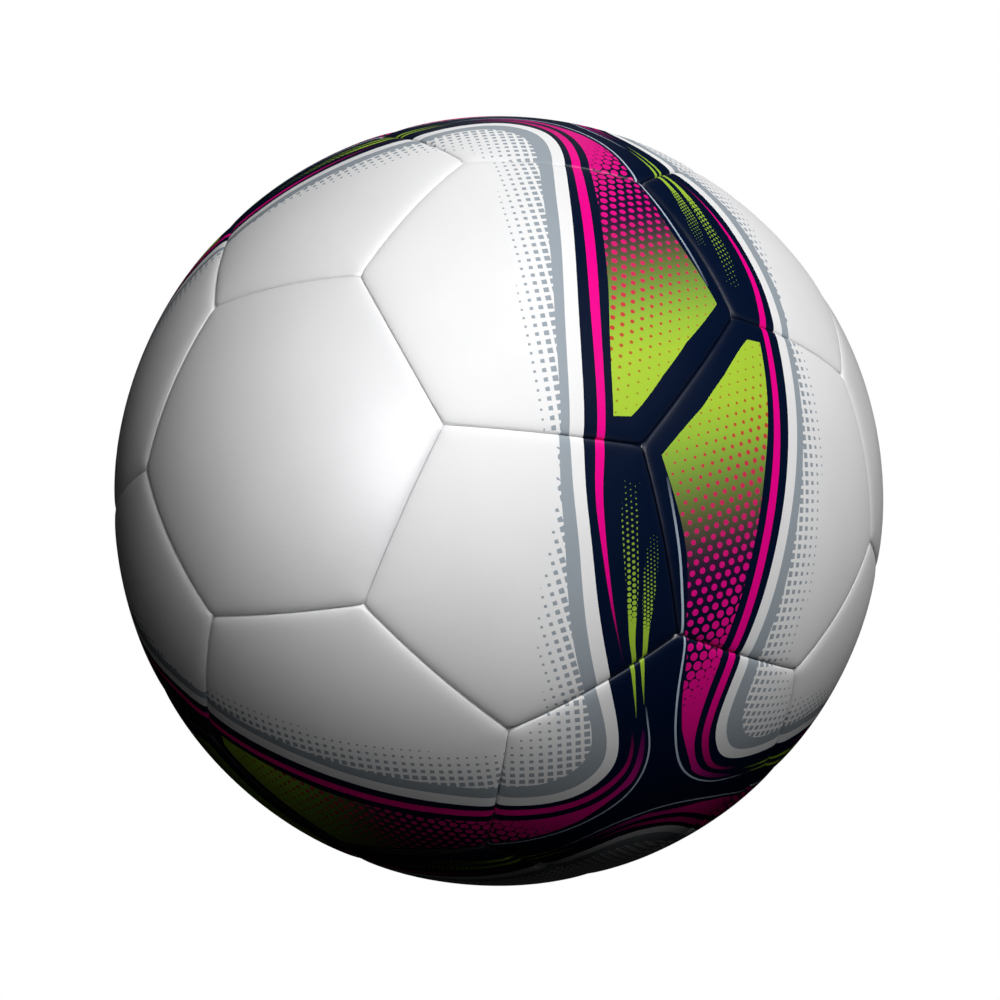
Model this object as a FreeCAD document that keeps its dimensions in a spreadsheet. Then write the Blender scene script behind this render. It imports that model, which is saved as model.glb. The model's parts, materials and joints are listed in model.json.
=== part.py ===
import FreeCAD, Part
import math
import os
from FreeCAD import Placement, Rotation, Vector

import Sketcher

# A size 5 soccer ball with 32 stitched panels: 12 pentagons and 20 hexagons.
# Each panel is a skin with turned-in hems, a foam pad and a fabric lining. Thread joins the
# hems, a bladder with a valve fills the cover, and the valve's plug pulls out along its axis.
# Origin: centre of the ball. +Z is up, and a white hexagon looks towards -Y.

GOLDEN = (1 + math.sqrt(5)) / 2
HEXAGON_SIDES = 6
PENTAGON_SIDES = 5
STITCHES_PER_SEAM = 7

# Construction solids run past the ball's surface, so these are shares of its radius.
WEDGE_START = 0.85
WEDGE_HEIGHT = 0.2
ROD_REACH = 1.1

# Lengths that should be equal may differ by this much, in millimetres, and angles in degrees.
LENGTH_TOLERANCE = 0.01
VOLUME_TOLERANCE = 0.01
ANGLE_TOLERANCE = 1
# A face whose normal's Z is smaller than this is a side, not a top or a bottom.
SIDE_NORMAL_LIMIT = 0.5

# A sketch's corners start on a wavy line, apart from each other, until constraints place them.
ROUGH_RADIUS = 5
ROUGH_HEIGHT = 90
ROUGH_WAVE = 3

# A truncated icosahedron's outer radius, in lengths of its edge.
RADIUS_IN_EDGES = math.sqrt(9 * GOLDEN + 10) / 2
HEXAGON_CORNER_SINE = 1 / RADIUS_IN_EDGES
PENTAGON_CORNER_SINE = 1 / (RADIUS_IN_EDGES * 2 * math.sin(math.pi / PENTAGON_SIDES))

# alias, value in millimetres or degrees, meaning
DIMENSIONS = (
    ("ball_radius", 110, "outside of the cover: 691 mm round"),
    ("hexagon_corner", math.degrees(math.asin(HEXAGON_CORNER_SINE)), "angle, centre to corner"),
    ("pentagon_corner", math.degrees(math.asin(PENTAGON_CORNER_SINE)), "angle, centre to corner"),
    ("ball_yaw", -139.29, "turn of the panel pattern about Z"),
    ("ball_pitch", 44.88, "turn of the panel pattern about Y"),
    ("ball_roll", 21.74, "turn of the panel pattern about X"),
    ("skin_thickness", 1.2, "cover material over the foam"),
    ("hem_thickness", 1, "cover material turned in along a seam"),
    ("hem_depth", 5, "lower edge of a hem below the outside"),
    ("hem_gap", 0.05, "free space between a hem and the seam's plane"),
    ("skin_edge_radius", 1.4, "rounding of a panel's outer edge"),
    ("glue_gap", 0.05, "free space between the layers of a panel"),
    ("foam_thickness", 2.2, "foam under the skin"),
    ("lining_thickness", 1.45, "fabric layers under the foam"),
    ("pad_inset", 2.1, "seam's plane to the edge of foam and lining"),
    ("stitch_depth", 2.7, "thread below the outside"),
    ("stitch_pitch", 3, "angle from one stitch to the next"),
    ("stitch_radius", 0.35, "thread where it crosses the seam"),
    ("stitch_hole_radius", 0.45, "needle hole in a hem"),
    ("stitch_hole_length", 2.8, "needle hole through both hems of a seam"),
    ("thread_width", 0.9, "flat thread where it runs along a hem"),
    ("thread_thickness", 0.7, "flat thread where it runs along a hem"),
    ("thread_offset", 1.48, "seam's plane to the middle of the thread beside a hem"),
    ("thread_sweep", 20.8, "angle that the thread of one seam covers"),
    ("bladder_gap", 0.05, "free space between the hems and the bladder"),
    ("bladder_thickness", 0.8, "rubber wall of the bladder"),
    ("bladder_hole_radius", 4.55, "hole for the valve in the bladder and its patch"),
    ("valve_hole_radius", 4.7, "hole for the valve in the panel"),
    ("stem_radius", 4.5, "outside of the valve housing"),
    ("stem_top_depth", 0.6, "top of the housing below the outside"),
    ("stem_length", 19.4, "whole length of the housing"),
    ("head_seat_radius", 3.9, "recess for the plug's head"),
    ("head_seat_depth", 1.05, "recess for the plug's head"),
    ("plug_bore_radius", 3.05, "bore of the housing"),
    ("plug_bore_length", 17, "bore of the housing below the head's seat"),
    ("air_hole_radius", 1.2, "air hole at the bottom of the housing"),
    ("flange_radius", 12, "flange of the housing inside the bladder"),
    ("flange_thickness", 1.4, "flange of the housing inside the bladder"),
    ("patch_radius", 17, "rubber patches inside the bladder"),
    ("patch_thickness", 0.55, "rubber patches inside the bladder"),
    ("patch_gap", 0.05, "free space on either side of a patch"),
    ("plug_top_depth", 0.7, "top of the plug below the outside"),
    ("plug_head_radius", 3.8, "head of the plug"),
    ("plug_head_height", 0.9, "head of the plug"),
    ("plug_radius", 3, "body of the plug"),
    ("plug_length", 16.4, "body of the plug below its head"),
    ("plug_chamfer", 0.5, "lower edge of the plug"),
    ("needle_radius", 1.1, "needle channel in the plug"),
    ("needle_length", 8, "needle channel below its funnel"),
    ("funnel_radius", 1.8, "mouth of the needle channel"),
    ("funnel_depth", 1.2, "mouth of the needle channel"),
    ("slit_width", 0.15, "self-sealing slit below the needle channel"),
    ("slit_length", 2, "self-sealing slit below the needle channel"),
    ("slit_skin", 0.5, "rubber between channel and slit, which the first needle pierces"),
)

doc = FreeCAD.newDocument("SoccerBall")
sheet = doc.addObject("Spreadsheet::Sheet", "Sizes")
for row, (alias, value, meaning) in enumerate(DIMENSIONS, start=1):
    sheet.set(f"A{row}", meaning)
    sheet.set(f"B{row}", f"{value:.10g}")
    sheet.setAlias(f"B{row}", alias)
doc.recompute()

# The objects that are written out, in order.
subparts = []


def size(alias):
    return float(sheet.get(alias))


# ---------------------------------------------------------------- layout of the panels


def cyclic(first, second):
    """The directions (0, first, second), with every sign and in every cyclic order."""
    found = []
    for y in (first, -first):
        for z in (second, -second):
            found += [Vector(0, y, z), Vector(z, 0, y), Vector(y, z, 0)]
    return found


def angle_between(one, other):
    return math.degrees(one.getAngle(other))


# The pentagons sit on an icosahedron's corners, the hexagons on its faces.
PENTAGONS = cyclic(1, GOLDEN)
BAND_HEXAGONS = cyclic(GOLDEN, 1 / GOLDEN)
CORNER_HEXAGONS = [Vector(1, 1, -1), Vector(1, -1, 1), Vector(-1, 1, 1), Vector(-1, -1, -1)]
WHITE_HEXAGONS = [Vector(1, 1, 1), Vector(1, -1, -1), Vector(-1, 1, -1)]
VALVE_HEXAGON = Vector(-1, -1, 1)
PLAIN_HEXAGONS = WHITE_HEXAGONS + CORNER_HEXAGONS + BAND_HEXAGONS

NEIGHBOUR_ANGLE = math.degrees(math.atan(2))
NEIGHBOURS = {
    i: [j for j in range(len(PENTAGONS))
        if abs(angle_between(PENTAGONS[i], PENTAGONS[j]) - NEIGHBOUR_ANGLE) < ANGLE_TOLERANCE]
    for i in range(len(PENTAGONS))
}
# A corner of the panels lies a third of the way from one pentagon's centre to the next.
CORNERS = [PENTAGONS[i] * 2 + PENTAGONS[j] for i in NEIGHBOURS for j in NEIGHBOURS[i]]

BALL_TURN = Rotation(size("ball_yaw"), size("ball_pitch"), size("ball_roll"))


def facing(out, towards):
    """Placement at the ball's centre: local Z points out, and local X leans towards a corner."""
    z_axis = Vector(out).normalize()
    x_axis = (towards - z_axis * towards.dot(z_axis)).normalize()
    y_axis = z_axis.cross(x_axis)
    return Placement(Vector(), BALL_TURN * Rotation(x_axis, y_axis, z_axis, "ZXY"))


def panel_place(centre):
    nearest = min(CORNERS, key=lambda corner: round(angle_between(corner, centre), 3))
    return facing(centre, nearest)


def seam_place(middle, along):
    """Local Z points out at the seam's middle, local Y runs along it, local X across it."""
    return facing(middle, along.cross(middle))


# The middle third of an icosahedron's edge parts two hexagons.
HEXAGON_SEAMS = [
    seam_place(PENTAGONS[i] + PENTAGONS[j], PENTAGONS[j] - PENTAGONS[i])
    for i in NEIGHBOURS for j in NEIGHBOURS[i] if i < j
]
# A pentagon's side lies across the angle between two of its neighbours.
PENTAGON_SEAMS = [
    seam_place(PENTAGONS[i] * 4 + PENTAGONS[j] + PENTAGONS[k], PENTAGONS[k] - PENTAGONS[j])
    for i in NEIGHBOURS for j in NEIGHBOURS[i] for k in NEIGHBOURS[i]
    if j < k and k in NEIGHBOURS[j]
]


# ---------------------------------------------------------------- building blocks


def solid(kind, name, **expressions):
    """A primitive whose sizes are bound to the sheet."""
    obj = doc.addObject(kind, name)
    for prop, expression in expressions.items():
        obj.setExpression(prop, expression)
    return obj


def combine(kind, name, base, tool):
    """A Part::Cut, Part::Common or Part::Fuse of two objects."""
    obj = doc.addObject(kind, name)
    obj.Base = base
    obj.Tool = tool
    return obj


def shell(name, outer_radius, thickness):
    """A hollow sphere round the ball's centre."""
    outer = solid("Part::Sphere", f"{name}_outside", Radius=outer_radius)
    inner = solid("Part::Sphere", f"{name}_inside", Radius=f"{outer_radius} - {thickness}")
    return combine("Part::Cut", name, outer, inner)


def rod(name, radius):
    """A cylinder on local Z, from the ball's centre to beyond its surface."""
    return solid(
        "Part::Cylinder", name, Radius=radius, Height=f"{ROD_REACH} * Sizes.ball_radius")


def copies(name, base, places):
    """Copies of one object at several placements, as one object."""
    links = []
    for place in places:
        link = doc.addObject("App::Link", f"{name}_copy")
        link.LinkedObject = base
        link.Placement = place
        links.append(link)
    group = doc.addObject("Part::Compound", name)
    group.Links = links
    return group


def keep(obj, label, place=None):
    """Marks an object as a sub-part, under its own label, at its place on the ball."""
    obj.Label = label
    if place is not None:
        obj.Placement = place
    subparts.append(obj)


def keep_copy(base, label, place):
    """One more sub-part of the same shape, at a place of its own."""
    link = doc.addObject("App::Link", label)
    link.LinkedObject = base
    keep(link, label, place)


def axis_plane(body, role):
    return next(plane for plane in body.Origin.OriginFeatures if plane.Role == role)


def side_angle(kind, sides):
    """Expression for the angle from a panel's centre to the middle of its side."""
    return f"atan(tan(Sizes.{kind}_corner * 1 deg) * cos(180 deg / {sides}))"


def wedge(name, kind, sides, inset):
    """The space of one panel: flat sides that aim at the ball's centre, moved in by inset."""
    body = doc.addObject("PartDesign::Body", name)
    prism = body.newObject("PartDesign::AdditivePrism", f"{name}_prism")
    prism.Polygon = sides
    low = f"{WEDGE_START} * Sizes.ball_radius"
    angle = side_angle(kind, sides)
    prism.setExpression("Height", f"{WEDGE_HEIGHT} * Sizes.ball_radius")
    prism.setExpression(
        "Circumradius",
        f"({low} * tan({angle}) - ({inset}) / cos({angle})) / cos(180 deg / {sides})",
    )
    doc.recompute()
    faces = {f"Face{i}": face.normalAt(0, 0).z for i, face in enumerate(prism.Shape.Faces, start=1)}
    draft = body.newObject("PartDesign::Draft", f"{name}_draft")
    walls = [face for face, slope in faces.items() if abs(slope) < SIDE_NORMAL_LIMIT]
    draft.Base = (prism, walls)
    draft.NeutralPlane = (prism, [min(faces, key=faces.get)])
    draft.Reversed = True
    draft.setExpression("Angle", angle)
    body.Tip = draft
    body.setExpression(".Placement.Base.z", low)
    doc.recompute()
    if draft.Shape.Volume < prism.Shape.Volume:
        raise RuntimeError(f"{name} narrows outwards")
    return body


def revolved(name, outline):
    """A body turned about local Z from (radius, height) corners, each an expression."""
    body = doc.addObject("PartDesign::Body", name)
    sketch = body.newObject("Sketcher::SketchObject", f"{name}_profile")
    sketch.AttachmentSupport = (axis_plane(body, "XZ_Plane"), [""])
    sketch.MapMode = "FlatFace"
    rough = [
        Vector(ROUGH_RADIUS + i, ROUGH_HEIGHT + ROUGH_WAVE * math.sin(i), 0)
        for i in range(len(outline))
    ]
    for i, start in enumerate(rough):
        sketch.addGeometry(Part.LineSegment(start, rough[(i + 1) % len(rough)]), False)
    origin, axis, first, last = -1, -2, 1, 2
    for i in range(len(outline)):
        following = (i + 1) % len(outline)
        sketch.addConstraint(Sketcher.Constraint("Coincident", i, last, following, first))
    for i, (radius, height) in enumerate(outline):
        if radius == "0":
            sketch.addConstraint(Sketcher.Constraint("PointOnObject", i, first, axis))
        else:
            index = sketch.addConstraint(
                Sketcher.Constraint("DistanceX", origin, 1, i, first, rough[i].x))
            sketch.renameConstraint(index, f"radius_{i}")
            sketch.setExpression(f"Constraints.radius_{i}", radius)
        index = sketch.addConstraint(
            Sketcher.Constraint("DistanceY", origin, 1, i, first, rough[i].y))
        sketch.renameConstraint(index, f"height_{i}")
        sketch.setExpression(f"Constraints.height_{i}", height)
    turned = body.newObject("PartDesign::Revolution", f"{name}_turned")
    turned.Profile = sketch
    turned.ReferenceAxis = (sketch, ["V_Axis"])
    turned.Angle = 360
    doc.recompute()
    return body


# ---------------------------------------------------------------- seams


def crosswise(name, radius, half_length):
    """One seam's stitches: short rods across it, on the thread's line, in the seam's frame."""
    rods = []
    for i in range(STITCHES_PER_SEAM):
        steps = i - (STITCHES_PER_SEAM - 1) / 2
        angle = f"{steps} * Sizes.stitch_pitch * 1 deg"
        line_radius = "(Sizes.ball_radius - Sizes.stitch_depth)"
        stitch = solid("Part::Cylinder", f"{name}_{i}", Radius=radius, Height=f"2 * {half_length}")
        stitch.Placement = Placement(Vector(), Rotation(Vector(0, 1, 0), 90))
        stitch.setExpression(".Placement.Base.x", f"-1 * {half_length}")
        stitch.setExpression(".Placement.Base.y", f"{line_radius} * sin({angle})")
        stitch.setExpression(".Placement.Base.z", f"{line_radius} * cos({angle})")
        rods.append(stitch)
    return rods


def seam_thread():
    """One seam's thread: a flat run beside each hem, joined by stitches through both."""
    half_sweep = math.radians(size("thread_sweep") / 2)
    start = Vector(0, math.sin(half_sweep), math.cos(half_sweep))
    across = Vector(1, 0, 0)
    turn = Rotation(start, across.cross(start), across, "ZXY")
    line_radius = "Sizes.ball_radius - Sizes.stitch_depth"
    pieces = crosswise("stitch", "Sizes.stitch_radius", "Sizes.thread_offset")
    for side, sign in (("left", -1), ("right", 1)):
        outer = solid(
            "Part::Cylinder", f"thread_{side}_outer",
            Radius=f"{line_radius} + Sizes.thread_width / 2",
            Height="Sizes.thread_thickness", Angle="Sizes.thread_sweep")
        inner = solid(
            "Part::Cylinder", f"thread_{side}_inner",
            Radius=f"{line_radius} - Sizes.thread_width / 2", Height="Sizes.thread_thickness")
        run = combine("Part::Cut", f"thread_{side}", outer, inner)
        run.Placement = Placement(Vector(), turn)
        run.setExpression(
            ".Placement.Base.x", f"{sign} * Sizes.thread_offset - Sizes.thread_thickness / 2")
        pieces.append(run)
    thread = doc.addObject("Part::MultiFuse", "thread_of_one_seam")
    thread.Shapes = pieces
    return thread


def stitch_holes():
    """One seam's needle holes, in the seam's frame."""
    holes = doc.addObject("Part::Compound", "holes_of_one_seam")
    holes.Links = crosswise("hole", "Sizes.stitch_hole_radius", "Sizes.stitch_hole_length / 2")
    return holes


def make_threads():
    thread = seam_thread()
    keep(copies("thread_between_hexagons", thread, HEXAGON_SEAMS), "thread_between_hexagons")
    keep(copies("thread_round_pentagons", thread, PENTAGON_SEAMS), "thread_round_pentagons")


# ---------------------------------------------------------------- layers of a panel


def rounded(name, base):
    """Rounds a panel's edges on the ball's outside."""
    doc.recompute()
    radius = size("skin_edge_radius")
    outside = size("ball_radius") - LENGTH_TOLERANCE
    rim = [
        (i, radius, radius) for i, edge in enumerate(base.Shape.Edges, start=1)
        if all(vertex.Point.Length > outside for vertex in edge.Vertexes)
    ]
    fillet = doc.addObject("Part::Fillet", name)
    fillet.Base = base
    fillet.Edges = rim
    return fillet


def panel_skin(kind, sides, holes):
    """A curved skin with hems turned in along its sides and needle holes through the hems."""
    room = wedge(f"{kind}_room", kind, sides, "Sizes.hem_gap")
    cover = shell(f"{kind}_cover", "Sizes.ball_radius", "Sizes.hem_depth")
    block = combine("Part::Common", f"{kind}_block", room, cover)
    inner_room = wedge(
        f"{kind}_inner_room", kind, sides, "Sizes.hem_gap + Sizes.hem_thickness")
    inner_ball = solid(
        "Part::Sphere", f"{kind}_inner_ball", Radius="Sizes.ball_radius - Sizes.skin_thickness")
    cavity = combine("Part::Common", f"{kind}_cavity", inner_room, inner_ball)
    hemmed = combine("Part::Cut", f"{kind}_hemmed", block, cavity)
    smooth = rounded(f"{kind}_rounded", hemmed)
    corner = math.radians(size(f"{kind}_corner"))
    lean = math.degrees(math.atan(math.tan(corner) * math.cos(math.pi / sides)))
    around = [
        Placement(Vector(), Rotation(Vector(0, 0, 1), 360 * (i + 0.5) / sides)
                  * Rotation(Vector(0, 1, 0), lean))
        for i in range(sides)
    ]
    return combine("Part::Cut", f"{kind}_skin", smooth, copies(f"{kind}_holes", holes, around))


def panel_pads(kind, sides):
    """The foam and the lining of one panel, inside its hems."""
    room = wedge(f"{kind}_pad_room", kind, sides, "Sizes.pad_inset")
    foam_top = "(Sizes.ball_radius - Sizes.skin_thickness - Sizes.glue_gap)"
    foam_shell = shell(f"{kind}_foam_shell", foam_top, "Sizes.foam_thickness")
    lining_top = f"({foam_top} - Sizes.foam_thickness - Sizes.glue_gap)"
    lining_shell = shell(f"{kind}_lining_shell", lining_top, "Sizes.lining_thickness")
    foam = combine("Part::Common", f"{kind}_foam", room, foam_shell)
    lining = combine("Part::Common", f"{kind}_lining", room, lining_shell)
    return foam, lining


def with_valve_hole(name, base):
    return combine("Part::Cut", name, base, rod(f"{name}_hole", "Sizes.valve_hole_radius"))


def make_panels():
    holes = stitch_holes()
    hexagon = panel_skin("hexagon", HEXAGON_SIDES, holes)
    pentagon = panel_skin("pentagon", PENTAGON_SIDES, holes)
    for i, centre in enumerate(WHITE_HEXAGONS, start=1):
        keep_copy(hexagon, f"white_hexagon_{i}", panel_place(centre))
    for i, centre in enumerate(CORNER_HEXAGONS, start=1):
        keep_copy(hexagon, f"corner_hexagon_{i}", panel_place(centre))
    for i, centre in enumerate(BAND_HEXAGONS, start=1):
        keep_copy(hexagon, f"band_hexagon_{i:02d}", panel_place(centre))
    for i, centre in enumerate(PENTAGONS, start=1):
        keep_copy(pentagon, f"pentagon_{i:02d}", panel_place(centre))
    valve_panel = with_valve_hole("white_hexagon_valve", hexagon)
    keep(valve_panel, "white_hexagon_valve", panel_place(VALVE_HEXAGON))


def make_pads():
    hexagon_places = [panel_place(centre) for centre in PLAIN_HEXAGONS]
    pentagon_places = [panel_place(centre) for centre in PENTAGONS]
    valve_place = panel_place(VALVE_HEXAGON)
    hexagon_layers = panel_pads("hexagon", HEXAGON_SIDES)
    pentagon_layers = panel_pads("pentagon", PENTAGON_SIDES)
    layers = zip(("foam", "lining"), hexagon_layers, pentagon_layers)
    for layer, hexagon, pentagon in layers:
        keep(copies(f"{layer}_hexagons", hexagon, hexagon_places), f"{layer}_hexagons")
        keep(copies(f"{layer}_pentagons", pentagon, pentagon_places), f"{layer}_pentagons")
        keep(with_valve_hole(f"{layer}_at_valve", hexagon), f"{layer}_at_valve", valve_place)


# ---------------------------------------------------------------- bladder and valve

BLADDER_TOP = "(Sizes.ball_radius - Sizes.hem_depth - Sizes.bladder_gap)"
PATCH_TOP = f"({BLADDER_TOP} - Sizes.bladder_thickness - Sizes.patch_gap)"
FLANGE_TOP = f"({PATCH_TOP} - Sizes.patch_thickness - Sizes.patch_gap)"
STEM_TOP = "(Sizes.ball_radius - Sizes.stem_top_depth)"
SEAT_FLOOR = f"({STEM_TOP} - Sizes.head_seat_depth)"
PLUG_TOP = "(Sizes.ball_radius - Sizes.plug_top_depth)"
HEAD_UNDERSIDE = f"({PLUG_TOP} - Sizes.plug_head_height)"
PLUG_BOTTOM = f"({HEAD_UNDERSIDE} - Sizes.plug_length)"
FUNNEL_BOTTOM = f"({PLUG_TOP} - Sizes.funnel_depth)"
CHANNEL_BOTTOM = f"({FUNNEL_BOTTOM} - Sizes.needle_length)"


def round_patch(name, outside, thickness, radius):
    """A disc cut from a hollow sphere, on local Z."""
    layer = shell(f"{name}_layer", outside, thickness)
    return combine("Part::Common", name, layer, rod(f"{name}_edge", radius))


def make_bladder(place):
    wall = shell("bladder_wall", BLADDER_TOP, "Sizes.bladder_thickness")
    hole = rod("bladder_hole", "Sizes.bladder_hole_radius")
    keep(combine("Part::Cut", "bladder", wall, hole), "bladder", place)


def make_patches(place):
    """The patch round the valve, and the one opposite that balances the valve's weight."""
    patch_size = (PATCH_TOP, "Sizes.patch_thickness", "Sizes.patch_radius")
    ring = combine("Part::Cut", "valve_patch", round_patch("valve_patch_disc", *patch_size),
                   rod("valve_patch_hole", "Sizes.bladder_hole_radius"))
    keep(ring, "valve_patch", place)
    opposite = Placement(Vector(), place.Rotation * Rotation(Vector(1, 0, 0), 180))
    keep(round_patch("balance_patch", *patch_size), "balance_patch", opposite)


def make_valve_housing(place):
    stem_bottom = f"{STEM_TOP} - Sizes.stem_length"
    bore_bottom = f"{SEAT_FLOOR} - Sizes.plug_bore_length"
    stem = revolved("valve_stem", (
        ("Sizes.air_hole_radius", stem_bottom),
        ("Sizes.stem_radius", stem_bottom),
        ("Sizes.stem_radius", STEM_TOP),
        ("Sizes.head_seat_radius", STEM_TOP),
        ("Sizes.head_seat_radius", SEAT_FLOOR),
        ("Sizes.plug_bore_radius", SEAT_FLOOR),
        ("Sizes.plug_bore_radius", bore_bottom),
        ("Sizes.air_hole_radius", bore_bottom),
    ))
    disc = round_patch(
        "flange_disc", FLANGE_TOP, "Sizes.flange_thickness", "Sizes.flange_radius")
    middle_of_stem_wall = "(Sizes.stem_radius + Sizes.plug_bore_radius) / 2"
    flange = combine("Part::Cut", "valve_flange", disc, rod("flange_hole", middle_of_stem_wall))
    keep(combine("Part::Fuse", "valve_housing", stem, flange), "valve_housing", place)


def add_slit(body):
    """Cuts the self-sealing slit from the plug's lower end to just below the needle channel."""
    sketch = body.newObject("Sketcher::SketchObject", "slit_outline")
    sketch.AttachmentSupport = (axis_plane(body, "XY_Plane"), [""])
    sketch.MapMode = "FlatFace"
    sketch.setExpression(".AttachmentOffset.Base.z", PLUG_BOTTOM)
    corners = [Vector(1, 1, 0), Vector(-1, 1, 0), Vector(-1, -1, 0), Vector(1, -1, 0)]
    for i, corner in enumerate(corners):
        sketch.addGeometry(Part.LineSegment(corner, corners[(i + 1) % len(corners)]), False)
    for i in range(len(corners)):
        following = (i + 1) % len(corners)
        sketch.addConstraint(Sketcher.Constraint("Coincident", i, 2, following, 1))
        sketch.addConstraint(Sketcher.Constraint("Horizontal" if i % 2 == 0 else "Vertical", i))
    sketch.addConstraint(Sketcher.Constraint("Symmetric", 0, 1, 1, 2, -1, 1))
    for name, kind, line, alias in (
        ("across", "DistanceX", 2, "slit_length"),
        ("width", "DistanceY", 3, "slit_width"),
    ):
        index = sketch.addConstraint(Sketcher.Constraint(kind, line, 1, line, 2, 2.0))
        sketch.renameConstraint(index, name)
        sketch.setExpression(f"Constraints.{name}", f"Sizes.{alias}")
    before = body.Shape.Volume
    pocket = body.newObject("PartDesign::Pocket", "slit")
    pocket.Profile = sketch
    pocket.Reversed = True
    pocket.setExpression("Length", f"{CHANNEL_BOTTOM} - {PLUG_BOTTOM} - Sizes.slit_skin")
    doc.recompute()
    removed = before - body.Shape.Volume
    depth = size("plug_length") + size("plug_head_height")
    depth -= size("funnel_depth") + size("needle_length") + size("slit_skin")
    if abs(removed - size("slit_length") * size("slit_width") * depth) > VOLUME_TOLERANCE:
        raise RuntimeError("the slit isn't as deep as the sheet says")


def make_valve_plug(place):
    plug = revolved("valve_plug", (
        ("0", PLUG_BOTTOM),
        ("Sizes.plug_radius - Sizes.plug_chamfer", PLUG_BOTTOM),
        ("Sizes.plug_radius", f"{PLUG_BOTTOM} + Sizes.plug_chamfer"),
        ("Sizes.plug_radius", HEAD_UNDERSIDE),
        ("Sizes.plug_head_radius", HEAD_UNDERSIDE),
        ("Sizes.plug_head_radius", PLUG_TOP),
        ("Sizes.funnel_radius", PLUG_TOP),
        ("Sizes.needle_radius", FUNNEL_BOTTOM),
        ("Sizes.needle_radius", CHANNEL_BOTTOM),
        ("0", CHANNEL_BOTTOM),
    ))
    add_slit(plug)
    keep(plug, "valve_plug", place)


# ---------------------------------------------------------------- the ball


def check():
    """Stops if anything failed to rebuild, or a sub-part isn't a valid shape."""
    for obj in doc.Objects:
        if "Invalid" in obj.State or "Error" in obj.State:
            raise RuntimeError(f"{obj.Label} is {obj.State}")
    for obj in subparts:
        if obj.Shape.isNull() or not obj.Shape.isValid() or not obj.Shape.Solids:
            raise RuntimeError(f"{obj.Label} has no valid solid")


def write():
    os.makedirs("parts", exist_ok=True)
    for obj in subparts:
        obj.Shape.exportStep(f"parts/{obj.Label}.step")
        print(f"{obj.Label}: {len(obj.Shape.Solids)} solids, {obj.Shape.Volume:.0f} mm3")


valve_place = panel_place(VALVE_HEXAGON)
make_panels()
make_pads()
make_threads()
make_bladder(valve_place)
make_patches(valve_place)
make_valve_housing(valve_place)
make_valve_plug(valve_place)
doc.recompute()
check()
write()
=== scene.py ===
import json
import math

import bpy
import numpy as np
from mathutils import Matrix, Vector


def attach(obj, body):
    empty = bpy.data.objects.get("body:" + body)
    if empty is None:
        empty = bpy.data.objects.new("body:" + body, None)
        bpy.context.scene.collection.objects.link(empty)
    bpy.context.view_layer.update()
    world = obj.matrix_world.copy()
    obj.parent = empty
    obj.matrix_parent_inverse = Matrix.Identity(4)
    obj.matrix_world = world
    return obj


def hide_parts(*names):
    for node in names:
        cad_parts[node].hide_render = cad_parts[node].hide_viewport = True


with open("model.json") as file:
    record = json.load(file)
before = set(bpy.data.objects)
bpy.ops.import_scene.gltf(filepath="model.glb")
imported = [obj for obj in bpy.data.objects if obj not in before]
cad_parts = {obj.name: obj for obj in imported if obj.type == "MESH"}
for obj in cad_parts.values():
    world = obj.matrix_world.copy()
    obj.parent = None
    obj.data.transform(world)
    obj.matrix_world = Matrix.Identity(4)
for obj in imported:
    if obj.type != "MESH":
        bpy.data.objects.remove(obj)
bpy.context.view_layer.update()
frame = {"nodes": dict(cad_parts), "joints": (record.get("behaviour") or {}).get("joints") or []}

# A stitched soccer ball: 32 padded panels over a bladder with a valve. Each panel is a closed
# mesh that replaces its CAD skin. Its outside is crowned and rolls over into the seams.
# The print is worked out in the materials from two UV maps that hold angles on the ball.

NODES = frame["nodes"]
BALL_RADIUS = max(vertex.co.length for vertex in NODES["white_hexagon_1"].data.vertices)
VALVE_AXIS = Vector(frame["joints"][0]["axis"]).normalized()
MM = 0.001

GOLDEN = (1 + math.sqrt(5)) / 2
# A truncated icosahedron's outer radius, in lengths of its edge.
RADIUS_IN_EDGES = math.sqrt(9 * GOLDEN + 10) / 2
CORNER_ANGLE = {
    sides: math.asin(1 / (RADIUS_IN_EDGES * 2 * math.sin(math.pi / sides))) for sides in (5, 6)
}
SIDE_ANGLE = {
    sides: math.atan(math.tan(corner) * math.cos(math.pi / sides))
    for sides, corner in CORNER_ANGLE.items()
}
YAW, PITCH, ROLL = -139.29, 44.88, 21.74
BALL_TURN = (
    Matrix.Rotation(math.radians(YAW), 3, "Z")
    @ Matrix.Rotation(math.radians(PITCH), 3, "Y")
    @ Matrix.Rotation(math.radians(ROLL), 3, "X")
)


# ---------------------------------------------------------------- layout of the panels


def cyclic(first, second):
    """The directions (0, first, second), with every sign and in every cyclic order."""
    found = []
    for y in (first, -first):
        for z in (second, -second):
            found += [Vector((0, y, z)), Vector((z, 0, y)), Vector((y, z, 0))]
    return found


def turned(vectors):
    """Directions on the ball as it lies in the photo."""
    return [(BALL_TURN @ vector).normalized() for vector in vectors]


PENTAGONS = turned(cyclic(1, GOLDEN))
BAND_HEXAGONS = turned(cyclic(GOLDEN, 1 / GOLDEN))
WHITE_HEXAGONS = turned(
    Vector(signs) for signs in ((1, 1, 1), (1, -1, -1), (-1, 1, -1), (-1, -1, 1)))
# Opposite each white hexagon lies a corner hexagon, where three bands of the print meet.
CORNER_HEXAGONS = turned(
    Vector(signs) for signs in ((1, 1, -1), (1, -1, 1), (-1, 1, 1), (-1, -1, -1)))
PANEL_CORNERS = [
    (one * 2 + other).normalized()
    for one in PENTAGONS for other in PENTAGONS
    if 0.1 < one.dot(other) < 0.9
]


def across(direction, out):
    """The part of a direction that lies square to another one, at length 1."""
    return (direction - out * direction.dot(out)).normalized()


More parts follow.
